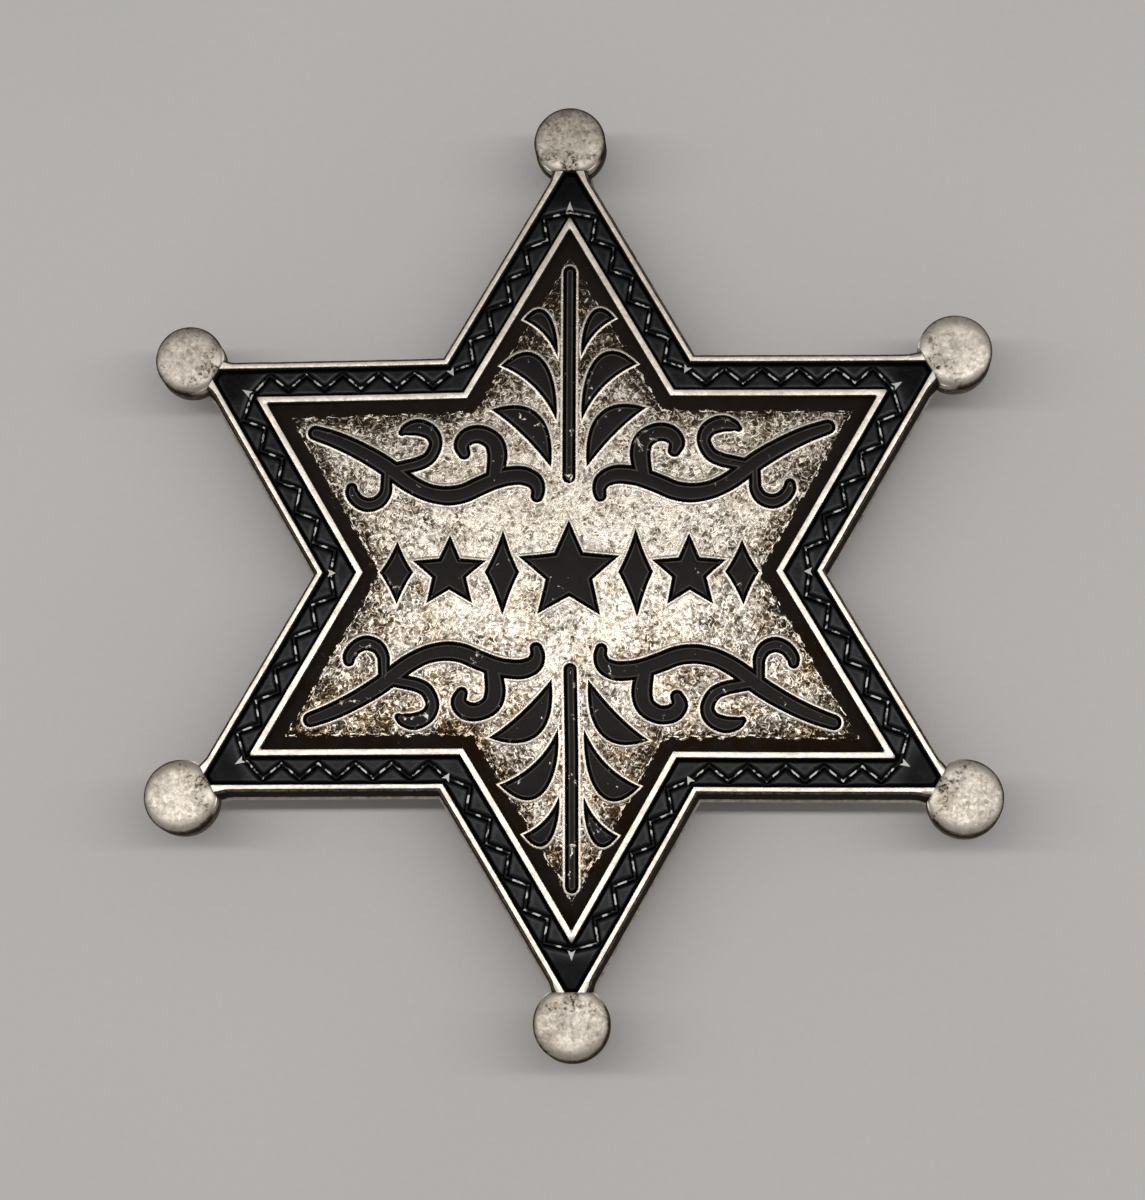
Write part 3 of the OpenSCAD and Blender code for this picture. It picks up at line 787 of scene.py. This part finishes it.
def mark_enamel(name):
    """Satin brown-black enamel, rubbed with the metal, with a few grains of silver left on it."""
    material, node, shader, place = new_material(name)
    c = colours()
    scuff = node("TexNoise", {
        "Vector": place, "Scale": 1 / (0.6 * MM), "Detail": 5.0, "Roughness": 0.65, "Distortion": 0.6})
    area = node("TexNoise", {"Vector": place, "Scale": 1 / (3.5 * MM), "Detail": 1.0})
    grains = node("Math", (area, 0.5, scuff), operation="MULTIPLY_ADD")
    grains = node("MapRange", (grains, 0.91, 0.97), interpolation_type="SMOOTHSTEP")
    # Painted shade: the enamel is painted black low down at its edges, with less gloss there, and takes its
    # own colour on top
    crown = node("Attribute", output="Fac", attribute_name="crown")
    worn = node("Math", (scuff, 0.9, 0.55), operation="MULTIPLY_ADD")
    worn = node("Math", (worn, crown), operation="MULTIPLY", use_clamp=True)
    body = node("Mix", {0: worn, 6: (*c.seam, 1), 7: (*c.mark_enamel, 1)}, 2, data_type="RGBA")
    # A painted highlight: a thin lighter line, broken up by the scuffs, where the surface turns down to the
    # edge
    turn = node("Math", (crown, 0.72), operation="SUBTRACT")
    turn = node("Math", (turn,), operation="ABSOLUTE")
    turn = node("MapRange", (turn, 0.04, 0.2, 0.35, 0.0))
    turn = node("Math", (turn, scuff), operation="MULTIPLY")
    body = node("Mix", {0: turn, 6: body, 7: (*c.dull, 1)}, 2, data_type="RGBA")
    fill_inputs(shader, {
        "Base Color": node("Mix", {0: grains, 6: body, 7: (*c.silver, 1)}, 2, data_type="RGBA"),
        "Metallic": grains,
        "Roughness": node("MapRange", (scuff, 0.0, 1.0, 0.3, 0.5)),
        "Specular IOR Level": node("MapRange", (crown, 0.0, 1.0, 0.03, 0.12)),
        "Normal": node("Bump", {"Height": scuff, "Distance": 0.03 * MM, "Strength": 0.3})})
    return material


def nickel_steel(name):
    """Nickel-plated stamped steel, brushed lengthwise before plating."""
    material, node, shader, place = new_material(name)
    stretched = node("Mapping", {"Vector": place, "Scale": (0.06, 1.0, 1.0)})
    lines = node("TexNoise", {"Vector": stretched, "Scale": 1 / (0.12 * MM), "Detail": 3.0})
    fill_inputs(shader, {
        "Base Color": (*colours().nickel, 1),
        "Metallic": 1.0,
        "Roughness": node("MapRange", (lines, 0.0, 1.0, 0.2, 0.45)),
        "Normal": node("Bump", {"Height": lines, "Distance": 0.01 * MM, "Strength": 0.4})})
    return material


def table_top(name):
    """A warm grey laminate with a fine, faint grain and a satin surface."""
    material, node, shader, place = new_material(name)
    grain = node("TexNoise", {"Vector": place, "Scale": 1 / (0.5 * MM), "Detail": 3.0, "Roughness": 0.6})
    cloud = node("TexNoise", {"Vector": place, "Scale": 1 / (40 * MM), "Detail": 1.0})
    mixed = node("Math", (cloud, grain), operation="ADD")
    level = node("MapRange", (mixed, 0.6, 1.4, 0.97, 1.03))
    tone = node("HueSaturation", {"Value": level, "Color": (*colours().table, 1)})
    fill_inputs(shader, {"Base Color": tone, "Roughness": 0.55})
    return material


# Pieces


class BADGE_OT_plate(bpy.types.Operator):
    """Models the star plate with its rims, its border and the pocket for its field"""
    bl_idname = "badge.plate"
    bl_label = "Star plate"

    def execute(self, context):
        s = sizes()
        top, floor, back = s.rim_top, s.floor, s.back
        rim_in = s.edge_bevel + s.rim_width + RIM_SHIFT
        wall = s.edge_bevel + s.rim_width + s.border_width
        pocket = wall + s.inner_rim_width
        ball_inner = s.border_end
        # Millimetres inside the outer edge, above the back or the top, and reach of the cut-off point
        flank = ((0.16, 0, 34), (0.07, 0.07, 34.1), (0.05, 0.16, 34.2), (0.05, 0.3, 34.2), (0.2, 0.46, 34.1),
                 (0.22, 1, 34))
        edge = ((0.35, -0.4, 33.9), (0.37, -0.25, 33.8), (0.49, -0.1, 33.6), (0.54, -0.03, 33.5),
                (0.57, 0, 33.4))
        profile = [(inside * MM, base + z * MM, end * MM)
                   for base, part in ((back, flank), (top, edge)) for inside, z, end in part]
        # The same in metres, and None where the point is sharp
        profile += [
            (rim_in - 0.22 * MM, top + 0.015 * MM, 33 * MM),
            (rim_in - 0.06 * MM, top, 32.6 * MM),
            (rim_in - 0.03 * MM, top - 0.03 * MM, ball_inner + 0.1 * MM),
            (rim_in, top - 0.12 * MM, ball_inner),
            (rim_in + 0.03 * MM, floor, ball_inner - 0.05 * MM),
            (wall - 0.03 * MM, floor, None),
            (wall, top - 0.12 * MM, None),
            (wall + 0.03 * MM, top - 0.03 * MM, None),
            (wall + 0.06 * MM, top, None),
            (wall + s.inner_rim_width / 2, top + 0.015 * MM, None),
            (pocket - 0.06 * MM, top, None),
            (pocket - 0.03 * MM, top - 0.03 * MM, None),
            (pocket, top - 0.12 * MM, None),
            (pocket, floor - 0.3 * MM, None),
        ]
        rows = []
        for inside, z, end in profile:
            reach = s.star_reach - 2 * inside
            rows.append((star_loop(reach, end or reach - POINT_CUT, 44), z))
        ob = outline_solid("star_plate", rows)
        co = coordinates(ob)
        outer = side_distance(co[:, 0], co[:, 1], s.star_reach) < 0.6 * MM
        co = as_cast(co)
        self.flare(co, outer)
        set_coordinates(ob, co)
        # The border is dark under its enamel. The flank between its rubbed bevel and the rubbed line of the
        # mould near the back is painted dark: painted shade, where it faces away from the light
        low = ramp(co[:, 2], top - 0.05 * MM, top - 0.2 * MM) * ~outer
        heights = [back, back + 0.45 * MM, back + 0.6 * MM, top - 0.3 * MM, top - 0.24 * MM, top - 0.1 * MM,
                   top - 0.03 * MM, top - 0.01 * MM]
        flank_painted_shade = np.interp(co[:, 2], heights, [0, 0, 1, 1, 0.45, 0.35, 0.95, 0]) * outer
        # Painted shade: the upper point is painted darker, where less light falls on it
        upper = 0.25 * ramp(co[:, 1], 10 * MM, 24 * MM)
        give_attributes(ob, hollow=np.max([low, flank_painted_shade, upper], axis=0),
                        rubbed=0.4 * (co[:, 2] > top - 0.02 * MM))
        roughen(ob, 1.4 * MM, 3)
        skin = antique_silver("antique_silver_rims", grain=0.6 * MM, cover=0.15, depth=0.48, leaves=0.0,
                              shine=0.32, yellow=0.3)
        finish_piece(ob, 35, skin, "antique_silver", "star_casting")
        return {"FINISHED"}

    def flare(self, co, outer):
        """Runs the plate's outer edge into the ball tips in a small curve."""
        for i in range(len(TIPS)):
            out, centre, half = ball_place(i)
            side = np.array((-out[1], out[0]))
            off = co[:, :2] - centre
            near = ramp(np.hypot(*off.T) - half, 0.9 * MM, 0) ** 2 * outer
            co[:, :2] += (0.22 * MM * near * np.sign(off @ side))[:, None] * side


class BADGE_OT_field(bpy.types.Operator):
    """Models the domed field with its engraved marks and their rubbed lips"""
    bl_idname = "badge.field"
    bl_label = "Engraved field"

    def execute(self, context):
        s = sizes()
        top = s.field_top
        slope, flare, polished = 0.05 * MM, 0.035 * MM, 0.09 * MM
        reach = s.field_reach + 0.02 * MM
        star = star_loop(reach, reach - POINT_CUT, 1, 1)
        ob = outline_solid("engraved_field", [(star, s.back + MM), (star, top)])
        lips, cutters = [], []
        growths = (s.lip_width + polished, s.lip_width, s.lip_width - slope, 0, flare)
        for name, side, outlines in marks():
            for foot, lip, lip_top, hole, hole_top in zip(*(outlines(by) for by in growths)):
                raised = outline_solid(name, [
                    (foot, top - 0.3 * MM), (foot, top + 0.02 * s.lip_height),
                    (lip, top + 0.75 * s.lip_height), (lip_top, top + s.lip_height)])
                cutter = outline_solid(name, [
                    (hole, top - s.mark_depth), (hole, top), (hole_top, top + s.lip_height),
                    (hole_top, top + MM)])
                for part, group in ((raised, lips), (cutter, cutters)):
                    group.append(mirrored(part, name, side))
                    bpy.data.meshes.remove(part.data)
        combine(ob, joined("lips", lips), "UNION", True)
        combine(ob, joined("cutters", cutters), "DIFFERENCE", True)
        cut_grid(ob, 1.5 * MM, extra_cuts=range(0, 180, 30))
        x, y, z = coordinates(ob).T
        height = z - top
        # The marks' walls are dark: patina and painted shade in the recesses
        wall = ramp(height, 0, -0.25 * MM)
        # Painted shade: the field is darker away from its centre, most of all at the top and in the points,
        # where its dome turns from the light
        out = np.hypot(x, y)
        away = 0.24 * ramp(np.hypot(0.8 * x, y), 5 * MM, 14 * MM) + 0.06 * ramp(out, 15 * MM, 23 * MM)
        away += 0.35 * ramp(y, 12 * MM, 20 * MM) + 0.9 * ramp(out / s.field_reach, 0.88, 0.925)
        give_attributes(ob, rubbed=ramp(height, 0, s.lip_height), hollow=np.maximum(wall, away),
                        banded=np.ones(len(x)), from_rim=side_distance(x, y, s.field_reach),
                        along_rim=along_side(x, y))
        lay_on_dome(ob)
        set_coordinates(ob, as_cast(coordinates(ob)))
        skin = antique_silver("antique_silver_field", grain=0.55 * MM, cover=0.23, depth=0.95, leaves=0.5,
                              shine=0.34, yellow=1.0)
        finish_piece(ob, 30, skin, "antique_silver", "star_casting")
        return {"FINISHED"}


class BADGE_OT_zigzag(bpy.types.Operator):
    """Models the raised zigzag and the arrowheads of the border"""
    bl_idname = "badge.zigzag"
    bl_label = "Zigzag"

    def execute(self, context):
        s = sizes()
        run, (tip, _) = zigzag_side()
        corners = zigzag_loop()
        half, high = s.ridge_width / 2, s.ridge_height
        # Shares of half the ridge's width and of its height, up its outer side
        outside = ((1.5, 0), (1.25, 0.5), (0.9, 0.85), (0.62, 1.0))
        rows = []
        for out, z in outside + tuple((-out, z) for out, z in reversed(outside)):
            line = grown(corners, out * half)
            fine = [p for a, b in zip(line, line[1:] + line[:1]) for p in spaced(a, b, 5)]
            rows.append((fine, s.floor + z * high))
        ridge = ring_solid("zigzag", rows)
        ridge_count = len(ridge.data.vertices)
        # The arrowheads have a hollowed base, and those at the notches point inwards
        wide = s.arrow_width / 2
        outward = [(tip, -wide), (tip + s.arrow_length + 0.2 * MM, 0), (tip, wide), (tip + 0.2 * MM, 0)]
        notch, wide = math.hypot(*run[0]), wide + 0.05 * MM
        inward = [(notch + 0.3 * MM, wide), (notch - 0.5 * MM, 0), (notch + 0.3 * MM, -wide),
                  (notch + 0.12 * MM, 0)]
        sections = ((0, 0), (0, 0.6 * high), (-0.02 * MM, 1.05 * high), (-0.04 * MM, 1.1 * high))
        parts = [ridge]
        for angle in POINT_ANGLES:
            for shape, turn in ((outward, angle), (inward, angle + math.radians(30))):
                parts.append(outline_solid("arrowhead", [
                    ([turned(p, turn) for p in grown(shape, by, 3)], s.floor + z) for by, z in sections]))
        ob = joined("zigzag", parts)
        roughen(ob, 0.7 * MM, 5)
        co = coordinates(ob)
        off = np.array(corners)[None] - co[:, None, :2]
        near = np.hypot(off[..., 0], off[..., 1]).min(1) / math.dist(run[0], run[1])
        crest = ramp(co[:, 2], s.floor + 0.7 * high, s.floor + 0.9 * high)
        # A cloth reaches the middle of each run, and the very corners
        bright = crest * (0.72 + np.maximum(0.27 * ramp(near, 0.2, 0.32), 0.24 * ramp(near, 0.12, 0)))
        arrow_top = (np.arange(len(co)) >= ridge_count) * (co[:, 2] > s.floor + 0.5 * high)
        give_attributes(ob, rubbed=np.maximum(bright, 1.6 * arrow_top))
        set_coordinates(ob, as_cast(co))
        finish_piece(ob, 30, zigzag_silver("worn_black_zigzag"), "antique_silver", "star_casting")
        return {"FINISHED"}


class BADGE_OT_balls(bpy.types.Operator):
    """Models the six flattened ball tips"""
    bl_idname = "badge.balls"
    bl_label = "Ball tips"

    def execute(self, context):
        s = sizes()
        crown, back = s.rim_top + s.ball_over, s.back
        middle = (crown + back) / 2
        face = 0.6 * s.ball_dome
        shoulder = crown - face

        def dome(share):
            return face * share ** 8

        # Share of the half width, and height, from the back's middle to the face's
        rows = [(share, back + dome(share)) for share in (0.3, 0.55, 0.75, 0.9, 0.97)]
        rows += [(1, back + face + 0.1 * MM), (1, middle - 0.16 * MM), (0.983, middle - 0.05 * MM),
                 (0.983, middle + 0.05 * MM), (1, middle + 0.16 * MM), (1, shoulder - 0.1 * MM)]
        rows += [(share, crown - dome(share))
                 for share in (0.99, 0.97, 0.94, 0.9, 0.85, 0.77, 0.68, 0.58, 0.46, 0.34, 0.2, 0.08)]
        circle = np.array([turned((1, 0), math.radians(5 * k)) for k in range(72)])
        skin = antique_silver("antique_silver_balls", grain=0.5 * MM, cover=0.12, depth=0.42, leaves=0.0,
                              shine=0.4, yellow=0.3)
        for i in range(len(TIPS)):
            out, centre, half = ball_place(i)
            loops = [(centre + half * share * circle, z) for share, z in rows]
            ob = outline_solid(f"ball_tip_{i + 1}", loops)
            roughen(ob, 1.8 * MM, i)
            co = coordinates(ob)
            point = np.array(OFF_TRUE[2 * i]) * MM
            # The border's flat end cuts the ball, and its neck rises to the rims that run into it
            end = s.border_end + point @ out
            reach = co[:, :2] @ out
            co[:, :2] += np.maximum(end - reach, 0)[:, None] * out
            near = ramp(reach - end, 1.2 * MM, 0.4 * MM) * (co[:, 2] > middle + 0.1 * MM)
            co[:, 2] += near * np.maximum(s.rim_top + 0.02 * MM - co[:, 2], 0)
            set_coordinates(ob, co)
            off = co[:, :2] - centre
            upper_half = co[:, 2] > middle
            # Tarnish has gathered in the neck, but not where the rims end on it
            across = np.abs((co[:, :2] - point) @ (-out[1], out[0]))
            rim_end = ramp(reach - end, 1.08 * MM, 0.18 * MM) * ramp(across, 0.55 * MM, 0.85 * MM)
            neck = ramp(reach - end, 1.875 * MM, 0.375 * MM) * upper_half * (1 - rim_end)
            # Painted shade round the ball: dark at the edge of its face and on the upper half of its side,
            # and less dark on the lower half, which faces the lit table
            side = ramp(co[:, 2], shoulder + 0.02 * MM, shoulder - 0.08 * MM)
            side *= np.where(upper_half, 0.8, 0.35)
            side = np.maximum(side, 0.45 * ramp(np.hypot(*off.T) / half, 0.93, 0.97)) * (1 - near)
            # Each ball is darker by its own listed amount, and painted darker towards its top as painted
            # shade, where it turns from the light
            tarnish = TIPS[i][3] * (1 + 0.6 * off[:, 1] / half)
            give_attributes(ob, hollow=np.maximum(0.18 * neck, side) + tarnish, pitted=neck,
                            rubbed=0.7 * rim_end * upper_half)
            finish_piece(ob, 40, skin, "antique_silver", "star_casting")
        return {"FINISHED"}


class BADGE_OT_border_enamel(bpy.types.Operator):
    """Models the border's enamel, puffed up a little between the zigzag and the rims"""
    bl_idname = "badge.border_enamel"
    bl_label = "Border enamel"

    def execute(self, context):
        s = sizes()
        run, tip = zigzag_side()
        gap = 0.03 * MM
        outer, inner = s.border_reach / 2 - RIM_SHIFT - gap, s.inner_rim_reach / 2 + gap
        end = s.border_end - gap
        outer_notch, inner_notch = ((reach, reach / math.sqrt(3)) for reach in (outer, inner))
        shapes = {
            "border_enamel_outer": [outer_notch, (end, (2 * outer - end) / math.sqrt(3)), (end, 0), tip]
            + run[::-1],
            "border_enamel_inner": [inner_notch] + run + [tip, (2 * inner, 0)],
        }
        skin = border_enamel("black_border_enamel")
        for node, shape in shapes.items():
            ob = self.one_ring(node, shape, run + [tip], outer, inner, end)
            finish_piece(ob, 50, skin, "border_enamel", node)
        return {"FINISHED"}

    def one_ring(self, node, shape, ridge, outer, inner, end):
        """Models one ring of enamel from the outline of its part in half a point of the star.

        outer, inner and end are how far the rims and the flat end lie from the centre.
        """
        s = sizes()
        clear_selection()
        bpy.ops.mesh.primitive_circle_add(vertices=len(shape), radius=MM, fill_type="NGON")
        side = bpy.context.object
        for v, (x, y) in zip(side.data.vertices, shape):
            v.co = (x, y, 0)
        cut_grid(side, 0.16 * MM, angles=(-30, 60))
        co = coordinates(side)
        across = co[:, 0] * 0.5 + co[:, 1] * math.sqrt(3) / 2
        from_rims = np.min([outer - across, across - inner, end - co[:, 0]], axis=0)
        far = from_rims
        for a, b in zip(np.array(ridge), np.array(ridge[1:])):
            t = np.clip((co[:, :2] - a) @ (b - a) / ((b - a) @ (b - a)), 0, 1)
            off = co[:, :2] - a - t[:, None] * (b - a)
            far = np.minimum(far, np.hypot(*off.T) - s.ridge_width / 2)
        puffed = 1 - (1 - ramp(far, 0, 0.32 * MM)) ** 2.5
        co[:, 2] = s.floor + 0.2 * MM + 0.15 * MM * puffed
        set_coordinates(side, co)
        # Painted light on the enamel: black near the zigzag and the rims as painted shade, lightest a little
        # way in as a painted highlight on the puffed shoulder, and darker again in the middle
        crown = ramp(far, 0.096 * MM, 0.256 * MM) * ramp(from_rims, 0.192 * MM, 0.352 * MM)
        crown *= 1 - 0.6 * ramp(far, 0.294 * MM, 0.546 * MM)
        # Painted shade: it is darker at the points, where the flat enamel reflects only the dark
        beyond = co[:, 0] - s.inner_rim_reach - s.ridge_tip_gap - 0.4 * MM
        give_attributes(side, crown=crown * (1 - 0.75 * ramp(beyond, 0, 0.75 * MM)))
        parts = []
        for angle in POINT_ANGLES:
            for mirror in (1, -1):
                part = mirrored(side, "ring_part", (1, mirror))
                part.data.transform(Matrix.Rotation(angle, 4, "Z"))
                parts.append(part)
        bpy.data.meshes.remove(side.data)
        ob = joined(node + "_ring", parts)
        bpy.ops.object.mode_set(mode="EDIT")
        bpy.ops.mesh.select_all(action="SELECT")
        bpy.ops.mesh.remove_doubles(threshold=1e-6)
        bpy.ops.mesh.normals_make_consistent(inside=False)
        bpy.ops.object.mode_set(mode="OBJECT")
        if sum(face.normal.z for face in ob.data.polygons) < 0:
            ob.data.flip_normals()
        add_modifier(ob, "SOLIDIFY", thickness=0.2 * MM, offset=-1)
        set_coordinates(ob, as_cast(coordinates(ob)))
        return ob


class BADGE_OT_fills(bpy.types.Operator):
    """Models the enamel in every engraved mark"""
    bl_idname = "badge.fills"
    bl_label = "Mark enamel"

    def execute(self, context):
        s = sizes()
        top = s.field_top - s.fill_drop
        # In millimetres, the gap to the mark's wall, and how far each row of a pad lies inside its foot and
        # below its crown
        gap = 0.08
        profile = ((0, 0.38), (0, 0.2), (0.04, 0.13), (0.1, 0.075), (0.18, 0.035), (0.28, 0.01), (0.4, 0))
        skin = mark_enamel("brown_black_mark_enamel")
        for name, side, outlines in marks():
            rows = [outlines(-(gap + inside) * MM) for inside, _ in profile]
            heights = [top - drop * MM for _, drop in profile]
            pads = [outline_solid(name, list(zip(pad, heights))) for pad in zip(*rows)]
            for pad in pads[1:]:
                combine(pads[0], pad, "UNION")
            ob = mirrored(pads[0], name + "_pad", side)
            bpy.data.meshes.remove(pads[0].data)
            cut_grid(ob, 1.5 * MM)
            give_attributes(ob, crown=ramp(coordinates(ob)[:, 2], top - 0.11 * MM, top) ** 1.5)
            lay_on_dome(ob)
            set_coordinates(ob, as_cast(coordinates(ob)))
            finish_piece(ob, 50, skin, "mark_enamel", name)
        return {"FINISHED"}


class BADGE_OT_pin(bpy.types.Operator):
    """Models the bar pin on the back, closed and in one piece"""
    bl_idname = "badge.pin"
    bl_label = "Bar pin"

    def execute(self, context):
        s = sizes()
        half, high, wide = s.pin_length / 2, s.pin_height, s.pin_width / 2
        strip, foot, wire = s.strip_thickness, s.foot_length, s.wire_width
        wire_z = (high - strip) / 2
        slot_half = wire / 2 + s.catch_gap
        ob = self.block((-half, -wide, high - strip), (half, wide, high), 0.18 * MM)
        foot_block = self.block((-half, -wide, 0), (-half + foot, wide, high - strip / 2), 0.3 * MM)
        catch = self.block((half - foot, -wide, 0), (half, wide, high - strip / 2), 0.3 * MM)
        slot = self.block((half - foot - MM, -slot_half, wire_z - slot_half),
                          (half + MM, 2 * wide, wire_z + slot_half), 0.1 * MM)
        combine(catch, slot, "DIFFERENCE")
        for part in (foot_block, catch, self.needle(-half + foot / 2, half, wire, wire_z)):
            combine(ob, part, "UNION")
        ob.name = ob.data.name = "bar_pin"
        finish_piece(ob, 35, nickel_steel("nickel_plated_steel"), "pin_metal", "pin_back")
        return {"FINISHED"}

    def block(self, low, up, bevel):
        """A block between two corners with its edges rounded."""
        clear_selection()
        centre = [(a + b) / 2 for a, b in zip(low, up)]
        bpy.ops.mesh.primitive_cube_add(size=1, location=centre, scale=[b - a for a, b in zip(low, up)])
        ob = bpy.context.object
        bpy.ops.object.transform_apply(location=True, rotation=True, scale=True)
        add_modifier(ob, "BEVEL", width=bevel, segments=3)
        return ob

    def needle(self, start, end, wire, z):
        """The wire, along X at height z, from its foot to its tapered tip."""
        clear_selection()
        bpy.ops.mesh.primitive_cylinder_add(
            vertices=40, radius=wire / 2, depth=end - start, location=((start + end) / 2, 0, z),
            rotation=(0, math.pi / 2, 0))
        ob = bpy.context.object
        bpy.ops.object.transform_apply(location=True, rotation=True, scale=True)
        cut_grid(ob, 0.3 * MM, angles=(0,))
        co = coordinates(ob)
        slim = 0.2 + 0.8 * np.sqrt(1 - (1 - ramp(co[:, 0], end, end - 2 * wire)) ** 2)
        co[:, 1] *= slim
        co[:, 2] = z + (co[:, 2] - z) * slim
        set_coordinates(ob, co)
        return ob


class BADGE_OT_stage(bpy.types.Operator):
    """Sets the table, the soft light and the camera"""
    bl_idname = "badge.stage"
    bl_label = "Table, light and camera"

    def execute(self, context):
        s = sizes()
        scene = context.scene
        clear_selection()
        bpy.ops.mesh.primitive_plane_add(size=1.6, location=(0, 0, 0))
        table = context.object
        table.name = "table"
        table.data.materials.append(table_top("warm_grey_laminate"))

        bpy.ops.object.light_add(type="AREA", location=(0, 0.065, 0.75))
        panel = context.object
        panel.name = "ceiling_strip"
        panel.data.shape, panel.data.size, panel.data.size_y = "RECTANGLE", 2.4, 0.07
        panel.data.energy = 4.9
        panel.data.color = (1.0, 0.985, 0.965)
        panel.rotation_euler = (Vector((0, 0, 0)) - panel.location).to_track_quat("-Z", "Y").to_euler()

        world = bpy.data.worlds.new("soft_room")
        world.use_nodes = True
        world.node_tree.nodes["Background"].inputs["Color"].default_value = (*linear("#f0eeeb"), 1)
        world.node_tree.nodes["Background"].inputs["Strength"].default_value = 0.3
        scene.world = world
        scene.view_settings.view_transform = "Standard"

        # The camera looks down on the badge from a little below it, as measured from the photograph
        look = (Matrix.Rotation(math.radians(-9.83), 3, "X") @ Matrix.Rotation(math.radians(-3.04), 3, "Y")
                @ Matrix.Rotation(math.radians(-0.13), 3, "Z")).transposed()
        away = look @ Vector((0.2938 * MM, -2.1731 * MM, 271.77 * MM))
        bpy.ops.object.camera_add(location=away + Vector((0, 0, s.rim_top)), rotation=look.to_euler())
        camera = context.object
        camera.data.sensor_fit, camera.data.sensor_height, camera.data.sensor_width = "VERTICAL", 24, 22.9
        camera.data.lens = 70.0
        camera.data.clip_start, camera.data.clip_end = 0.01, 5
        scene.camera = camera
        return {"FINISHED"}


class BADGE_PT_parts(bpy.types.Panel):
    """The badge's pieces, sizes and colours"""
    bl_idname = "BADGE_PT_parts"
    bl_label = "Star badge"
    bl_space_type = "VIEW_3D"
    bl_region_type = "UI"
    bl_category = "Star badge"

    def draw(self, context):
        for operator in STEPS:
            self.layout.operator(operator.bl_idname)
        for group in (context.scene.badge_sizes, context.scene.badge_colours):
            box = self.layout.box()
            for name in type(group).__annotations__:
                box.prop(group, name)


STEPS = (BADGE_OT_plate, BADGE_OT_field, BADGE_OT_zigzag, BADGE_OT_balls, BADGE_OT_border_enamel,
         BADGE_OT_fills, BADGE_OT_pin, BADGE_OT_stage)
CLASSES = (BadgeSizes, BadgeColours) + STEPS + (BADGE_PT_parts,)


def register():
    for cls in CLASSES:
        bpy.utils.register_class(cls)
    bpy.types.Scene.badge_sizes = PointerProperty(type=BadgeSizes)
    bpy.types.Scene.badge_colours = PointerProperty(type=BadgeColours)


def unregister():
    del bpy.types.Scene.badge_colours
    del bpy.types.Scene.badge_sizes
    for cls in reversed(CLASSES):
        bpy.utils.unregister_class(cls)


def main():
    register()
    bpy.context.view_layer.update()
    bpy.ops.badge.plate()
    bpy.ops.badge.field()
    bpy.ops.badge.zigzag()
    bpy.ops.badge.balls()
    bpy.ops.badge.border_enamel()
    bpy.ops.badge.fills()
    bpy.ops.badge.pin()
    bpy.ops.badge.stage()


if __name__ == "__main__":
    main()
